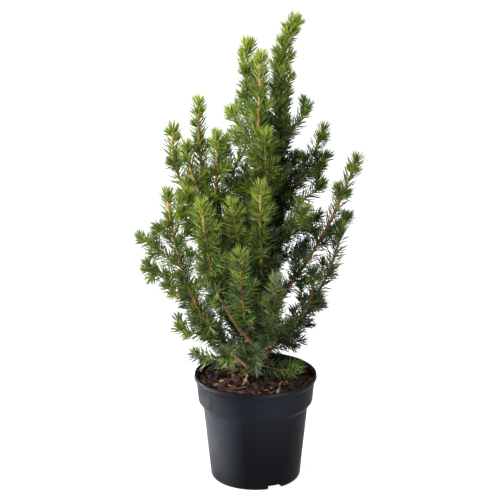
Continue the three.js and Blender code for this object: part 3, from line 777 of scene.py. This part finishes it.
def needle_mesh(base, direction, curl, ahead, length, width):
    """Three-sided pointed needles as one mesh: (places, quads, triangles)."""
    count = len(base)
    u = unit(np.cross(direction, ahead) + 1e-9)
    v = np.cross(direction, u)
    middle = base + direction * (0.5 * length)[:, None]
    tip = middle + curl * (0.5 * length)[:, None]
    places = np.empty((count, 7, 3), np.float32)
    for k in range(3):
        angle = 2 * math.pi * k / 3
        offset = (math.cos(angle) * u + math.sin(angle) * v) * (width / 2)[:, None]
        places[:, k] = base + offset * NEEDLE_FOOT
        places[:, 3 + k] = middle + offset
    places[:, 6] = tip
    start = (np.arange(count) * 7)[:, None]
    quads = np.array([(k, (k + 1) % 3, 3 + (k + 1) % 3, 3 + k) for k in range(3)])
    points = np.array([(3 + k, 3 + (k + 1) % 3, 6) for k in range(3)])
    quads = (start[:, :, None] + quads[None]).reshape(-1, 4)
    points = (start[:, :, None] + points[None]).reshape(-1, 3)
    return places.reshape(-1, 3), quads, points


def make_needles(growth):
    columns = [np.concatenate([own[k] for own in growth.needles]) for k in range(7)]
    shade = columns[6]
    foliage = [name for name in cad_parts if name.startswith("foliage_")]
    for number, name in enumerate(ALL_NEEDLES):
        chosen = np.flatnonzero(shade == number)
        if not len(chosen):
            continue
        material, _, _ = new_material(name, ALL_NEEDLES[name], 0.40, specular=0.32)
        for piece, first in enumerate(range(0, len(chosen), NEEDLES_PER_PIECE)):
            these = chosen[first:first + NEEDLES_PER_PIECE]
            places, quads, points = needle_mesh(*[column[these] for column in columns[:6]])
            thing = mesh_object(f"{name}_{piece + 1}", places, [quads, points], material, False)
            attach(thing, "root")
            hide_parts(*foliage)


def make_stems(growth):
    for bark, colours in STEM_BARKS.items():
        name = f"twigs_{bark}"
        tubes = [stem[:3] for stem in growth.stems if stem[3] == bark]
        thing = tubes_object(name, tubes, STEM_SIDES, stem_material(name, *colours))
        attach(thing, "root")


# By the start of a shoot's name, the first that fits: how much darker its needles are painted for the
# shade it stands in, mostly on the right and at the back (painted shade), how much brighter the young
# needles at its tip are, and its stem's bark.
SHOOT_LOOKS = [
    (("right_back", "right_flat", "right_mid"), -0.16, 0.12, "brown"),
    (("right",), 0.0, 0.12, "brown"),
    (("back",), -0.08, 0.12, "old"),
    (("front_right", "front_low"), -0.02, 0.30, "brown"),
    (("front",), -0.02, 0.30, "tan"),
    (("top", "left_tall", "left_high", "left_mid"), 0.0, 0.30, "tan"),
    (("",), 0.0, 0.16, "tan"),
]


def make_plant():
    paths = all_paths()
    growth = Growth()
    make_trunk(paths["trunk"])
    make_boughs(paths)
    grow_shoot(growth, paths["trunk"], LEADER_START, LEADER_TWIGGY, 0.0, LEADER_FRESH, None,
               twiggy_to=LEADER_TWIGGY_SHARE)
    for row in SHOOTS:
        name, bare, twiggy = row[0], row[8], row[10]
        sparse = RIGHT_SPARSE if name.startswith("right") else 1.0
        looks = next(looks for start, *looks in SHOOT_LOOKS if name.startswith(start))
        grow_shoot(growth, paths[name], bare, twiggy, *looks, sparse)
    grow_inside(growth)
    make_stems(growth)
    make_needles(growth)


# ---- pot ----
WALL = 1.3 * MM
LIP = POT_HEIGHT - 6.2 * MM
LIP_BELOW = 1.5 * MM  # the swell into the lip starts this far under it
LIP_SWELL = 4.2 * MM
LIP_STEPS = 12
COLLAR_RADIUS = 58.3 * MM
COLLAR_INSET = 0.5 * MM
COLLAR_FOOT = (55.9 * MM, 80.6 * MM)  # radius and height of this edge, and of the body's two
BODY_TOP = (51.2 * MM, 74.4 * MM)
BODY_FOOT = (44.2 * MM, 5.2 * MM)
BASE_RADIUS = 41 * MM
BASE_FLAT = BASE_RADIUS - 0.6 * MM
FOOT_ROUND_OUT = 3.6 * MM
FOOT_ROUND_UP = 4.2 * MM
FOOT_STEPS = 6
FLOOR = 1.8 * MM
POT_SIDES = 160
SMOOTH_BELOW = 32  # edges of the pot bent less than this many degrees look round
NOTCHES = 3
FIRST_NOTCH_SIDE = -63
NOTCH_WIDTH = 16 * MM
NOTCH_HEIGHT = 4.6 * MM
NOTCH_DEPTH = 13 * MM
SKIN_SHORT = 1.5 * MM  # the recess's own walls end this far inside the pot's wall,
SKIN_LIFT = 0.4 * MM  # and start this far above its underside
CUT_LENGTH = 30 * MM


def near(corner, out, up):
    """A point of the section that many mm from a corner."""
    return corner[0] + out * MM, corner[1] + up * MM


def pot_profile():
    """The pot's section as (radius, height), up the outside and down the inside."""
    outside = [(0, 0), (BASE_FLAT, 0)]
    for k in range(FOOT_STEPS + 1):
        a = math.pi / 2 * k / FOOT_STEPS
        outside.append((BASE_FLAT + FOOT_ROUND_OUT * math.sin(a), FOOT_ROUND_UP * (1 - math.cos(a))))
    # Points close together round the two edges of the step a little.
    outside += [
        near(BODY_TOP, -0.08, -1.0),
        near(BODY_TOP, 0.15, 0),
        near(COLLAR_FOOT, -0.6, -1.3),
        near(COLLAR_FOOT, -0.1, -0.5),
        near(COLLAR_FOOT, 0.1, 0.3),
    ]
    swell = LIP_RADIUS - COLLAR_RADIUS + COLLAR_INSET
    # The collar swells smoothly into the lip.
    for k in range(LIP_STEPS + 1):
        share = k / LIP_STEPS
        radius = COLLAR_RADIUS - COLLAR_INSET + swell * share ** 2 * (3 - 2 * share)
        outside.append((radius, LIP - LIP_BELOW + LIP_SWELL * share))
    outside += [
        near((LIP_RADIUS, POT_HEIGHT), -0.4, -0.5),
        near((LIP_RADIUS, POT_HEIGHT), -1.2, 0),
    ]
    inside = [
        near((COLLAR_RADIUS - WALL, POT_HEIGHT), 0.5, -0.3),
        near((COLLAR_RADIUS - WALL, POT_HEIGHT), 0, -1.2),
        (COLLAR_FOOT[0] - WALL, COLLAR_FOOT[1] + 0.4 * MM),
        (BODY_TOP[0] - WALL, BODY_TOP[1] + 0.6 * MM),
        (BODY_FOOT[0] - WALL, BODY_FOOT[1]),
        (BASE_RADIUS - 0.4 * MM, FLOOR),
        (0, FLOOR),
    ]
    return outside + inside


def turned(name, profile, sides, material):
    """A closed turned body; the profile starts and ends on the axis."""
    ring = np.array(profile[1:-1])
    angle = 2 * math.pi * np.arange(sides) / sides
    places = np.empty((len(ring), sides, 3))
    places[..., 0] = ring[:, :1] * np.cos(angle)
    places[..., 1] = ring[:, :1] * np.sin(angle)
    places[..., 2] = ring[:, 1:]
    poles = [(0, 0, profile[0][1]), (0, 0, profile[-1][1])]
    places = np.concatenate([places.reshape(-1, 3), poles])
    return mesh_object(name, places, ring_faces(len(ring), sides), material)


def turned_about(points, axis, angle):
    """Points turned about the axis of that number, 0 for X."""
    a, b = (axis + 1) % 3, (axis + 2) % 3
    turn = np.eye(3)
    turn[a, a] = turn[b, b] = math.cos(angle)
    turn[b, a] = math.sin(angle)
    turn[a, b] = -turn[b, a]
    return points @ turn.T


def block(name, size, place, side, material):
    """A box turned about the pot's axis, to cut or join with."""
    x, y, z = [s / 2 for s in size]
    corners = np.array([(i * x, j * y, k * z) for i in (-1, 1) for j in (-1, 1) for k in (-1, 1)])
    corners += np.array(place)
    corners = turned_about(corners, 2, math.radians(side))
    faces = [(0, 1, 3, 2), (4, 6, 7, 5), (0, 4, 5, 1), (2, 3, 7, 6), (0, 2, 6, 4), (1, 5, 7, 3)]
    thing = mesh_object(name, corners, [faces], material, False)
    return thing


def combine(target, tool, operation):
    """Cut the tool from the target or join it on, and delete the tool."""
    modifier = target.modifiers.new("cut", "BOOLEAN")
    modifier.operation = operation
    modifier.object = tool
    modifier.solver = "EXACT"
    bpy.context.view_layer.objects.active = target
    bpy.ops.object.modifier_apply(modifier=modifier.name)
    bpy.data.objects.remove(tool, do_unlink=True)


def make_pot():
    material = pot_material()
    pot = turned("pot_shell", pot_profile(), POT_SIDES, material)
    inner = BASE_RADIUS - NOTCH_DEPTH
    reach = NOTCH_DEPTH + WALL - SKIN_SHORT
    for k in range(NOTCHES):
        side = FIRST_NOTCH_SIDE + 360 / NOTCHES * k
        # The recess keeps its own wall, so a slightly larger block is joined on first.
        skin = block("notch_skin", (reach, NOTCH_WIDTH + 2 * WALL, NOTCH_HEIGHT + WALL - SKIN_LIFT),
                     (inner - WALL + reach / 2, 0, (NOTCH_HEIGHT + WALL + SKIN_LIFT) / 2), side, material)
        combine(pot, skin, "UNION")
        space = block("notch_space", (CUT_LENGTH, NOTCH_WIDTH, 2 * NOTCH_HEIGHT),
                      (inner + CUT_LENGTH / 2, 0, 0), side, material)
        combine(pot, space, "DIFFERENCE")
    pot.select_set(True)
    bpy.ops.object.shade_smooth_by_angle(angle=math.radians(SMOOTH_BELOW))
    pot.select_set(False)
    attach(pot, "root")
    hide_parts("pot")


# ---- soil and bark mulch ----
# Dark and pale colour of each kind of chip, and its share.
CHIP_KINDS = {
    "chips_red": ((0.026, 0.010, 0.007), (0.125, 0.058, 0.040), 0.30),
    "chips_brown": ((0.010, 0.006, 0.005), (0.055, 0.029, 0.020), 0.33),
    "chips_dark": ((0.002, 0.0015, 0.0013), (0.012, 0.007, 0.005), 0.34),
    "chips_tan": ((0.120, 0.062, 0.031), (0.290, 0.175, 0.095), 0.03),
}
CHIPS = 820
CHIP_LENGTH = (5, 15)  # mm
CHIP_WIDTH = (0.26, 0.5)  # share of the length
CHIP_THICKNESS = (1.0, 2.6)  # mm
CHIP_LAYER = (-0.4, 3.4)  # height over the soil, mm
CHIP_TILT = 0.42
CHIP_ROLL = 0.3
CHIP_STATIONS = np.array([-1, -0.35, 0.4, 1])
CHIP_WIDTHS = np.array([0.55, 1.0, 0.9, 0.35])
STEM_CLEAR = 8 * MM  # no chips this close to the pot's axis
WALL_CLEAR = 2.2 * MM
LONGEST_AT_WALL = 7 * MM
MOUND_TOP = 99.6 * MM
MOUND_DROP = 2.4 * MM
MOUND_FLAT = 15 * MM  # radius of the flat middle of the mound
# Tan straws on the mulch: right, back, length (mm), side they point to and how steeply they stand.
STRAWS = [
    (-10, -22, 13, 62, 38), (-14, -33, 11, 12, 6), (-23, -28, 9, 150, 4), (8, -40, 8, -20, 8),
    (24, -24, 10, 75, 10), (-30, 14, 12, 40, 8), (16, 30, 12, -50, 6),
]
STRAW_WIDTH, STRAW_THICKNESS, STRAW_LIFT = 1.1 * MM, 0.8 * MM, 3 * MM


def chip_mesh(centre, length, width, thick, turn, tilt, roll, first):
    """One split chip: a tapered, slightly bent box with uneven corners."""
    xs = CHIP_STATIONS * length / 2
    grow = CHIP_WIDTHS * rng.uniform(0.8, 1.2, 4)
    bend = rng.uniform(-0.12, 0.12) * length
    corners = []
    for x, g in zip(xs, grow):
        rise = bend * (x / (length / 2)) ** 2
        for j, k in ((-1, -1), (1, -1), (1, 1), (-1, 1)):
            y = j * width / 2 * g * rng.uniform(0.8, 1.15)
            z = k * thick / 2 * rng.uniform(0.7, 1.2) + rise
            corners.append((x + rng.uniform(-0.06, 0.06) * length, y, z))
    corners = np.array(corners)
    for axis, angle in enumerate((roll, tilt, turn)):
        corners = turned_about(corners, axis, angle)
    quads = [(0, 3, 2, 1), (12, 13, 14, 15)]
    for s in range(3):
        for k in range(4):
            a, b = 4 * s + k, 4 * s + (k + 1) % 4
            quads.append((a, b, b + 4, a + 4))
    return corners + centre, np.array(quads) + first


def soil_height(radius):
    outside = max(0.0, (radius - MOUND_FLAT) / (COLLAR_RADIUS - MOUND_FLAT))
    return MOUND_TOP - MOUND_DROP * outside ** 2


def scatter_chips(add_chip):
    """Bark chips all over the soil; a chip close to the wall lies along it."""
    kinds = list(CHIP_KINDS)
    weights = [CHIP_KINDS[kind][2] for kind in kinds]
    room = COLLAR_RADIUS - WALL
    for _ in range(CHIPS):
        length = rng.uniform(*CHIP_LENGTH) * MM
        radius = math.sqrt(rng.uniform(0.0, 1)) * (room - 1.5 * MM)
        if radius < STEM_CLEAR:
            continue
        turn = rng.uniform(0, 2 * math.pi)
        side = rng.uniform(0, 2 * math.pi)
        if room - radius < length / 2:
            side = turn + math.pi / 2 + rng.uniform(-0.4, 0.4)
            length = min(length, LONGEST_AT_WALL)
            radius = min(radius, room - WALL_CLEAR)
        width = length * rng.uniform(*CHIP_WIDTH)
        thick = rng.uniform(*CHIP_THICKNESS) * MM
        layer = rng.uniform(*CHIP_LAYER) * MM
        tilt = rng.normal(0, CHIP_TILT)
        centre = np.array([radius * math.cos(turn), radius * math.sin(turn), soil_height(radius) + layer])
        kind = rng.choice(kinds, p=weights)
        add_chip(kind, centre, length, width, thick, side, tilt, rng.normal(0, CHIP_ROLL))


def lay_straws(add_chip):
    for right, back, length, side, steep in STRAWS:
        lean = math.radians(steep)
        middle = SOIL_TOP + STRAW_LIFT + length / 2 * MM * math.sin(lean)
        centre = np.array([right * MM, back * MM, middle])
        shape = (length * MM, STRAW_WIDTH, STRAW_THICKNESS)
        add_chip("chips_tan", centre, *shape, math.radians(side), -lean, 0)


def make_soil():
    """The soil keeps its node and gets a material; the chips and straws lie on it."""
    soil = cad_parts["soil"]
    soil.data.materials.clear()
    soil.data.materials.append(soil_material())
    built = {kind: ([], []) for kind in CHIP_KINDS}

    def add_chip(kind, *shape):
        places, quads = built[kind]
        corners, faces = chip_mesh(*shape, sum(map(len, places)))
        places.append(corners)
        quads.append(faces)

    scatter_chips(add_chip)
    lay_straws(add_chip)
    for kind, (places, quads) in built.items():
        material = chip_material(kind, *CHIP_KINDS[kind][:2])
        thing = mesh_object(kind, places, [np.concatenate(quads)], material, False)
        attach(thing, "root")


# ---- studio ----
FLOOR_REACH = 8.0
FLOOR_GAP = 0.0002  # the floor lies this far under the pot
FLOOR_GREY = 0.30
FLOOR_GLOW = 0.93
SKY_STRENGTH = 0.34


def make_floor():
    """A wide pale floor, brightest by itself so that the shadow on it stays faint."""
    r, z = FLOOR_REACH, POT_LOW.z - FLOOR_GAP
    corners = [(-r, -r, z), (r, -r, z), (r, r, z), (-r, r, z)]
    material, _, shader = new_material("floor_pale", (FLOOR_GREY,) * 3, 0.9, specular=0.0)
    set_inputs(shader, Emission_Color=(1, 1, 1, 1), Emission_Strength=FLOOR_GLOW)
    floor = mesh_object("floor", corners, [[(0, 1, 2, 3)]], material, False)


def aimed_object(name, data, place, direction):
    """A light or camera that looks in that direction."""
    thing = bpy.data.objects.new(name, data)
    bpy.context.scene.collection.objects.link(thing)
    thing.location = place
    thing.rotation_mode = "QUATERNION"
    thing.rotation_quaternion = direction.to_track_quat("-Z", "Y")
    return thing


def area_light(name, place, aim, size, power, colour=(1, 1, 1), spread=180):
    data = bpy.data.lights.new(name, "AREA")
    data.shape = "RECTANGLE"
    data.size, data.size_y = size
    data.energy = power
    data.color = colour
    data.spread = math.radians(spread)
    aimed_object(name, data, Vector(place), Vector(aim) - Vector(place))


def make_studio():
    """White surroundings, soft light from the left and two narrow lights on the pot."""
    world = bpy.data.worlds.new("studio")
    bpy.context.scene.world = world
    world.use_nodes = True
    set_inputs(world.node_tree.nodes["Background"], Color=(1, 1, 1, 1), Strength=SKY_STRENGTH)
    make_floor()
    warm = (1.0, 0.985, 0.96)
    area_light("key_left", (-0.9, -1.7, 1.9), aim=(0, 0, 0.25), size=(1.0, 1.0), power=85, colour=warm)
    area_light("strip_right", (1.05, -1.45, 0.20), aim=(0, -0.03, 0.093), size=(0.05, 0.05), power=0.06,
               spread=4)
    area_light("side_left", (-1.5, 0.45, 0.5), aim=(0, 0, 0.15), size=(0.8, 1.3), power=86)
    area_light("low_left", (-1.1, 0.25, 0.06), aim=(0, 0, 0.055), size=(0.5, 0.08), power=2.4, spread=7)
    view = bpy.context.scene.view_settings
    view.view_transform = "Standard"
    view.look = "None"


def make_camera():
    data = bpy.data.cameras.new("camera")
    data.lens = LENS
    data.sensor_width = SENSOR_WIDTH
    data.shift_x, data.shift_y = SHIFT
    data.clip_start, data.clip_end = 0.05, 50
    aim = Vector((0, 0, AIM_HEIGHT))
    back = Vector((0, -math.cos(CAMERA_HEIGHT_ANGLE), math.sin(CAMERA_HEIGHT_ANGLE)))
    bpy.context.scene.camera = aimed_object("camera", data, aim + back * CAMERA_DISTANCE, -back)


# ---- build ----
TRUNK = trunk_path()
make_camera()
make_studio()
make_pot()
make_soil()
make_plant()
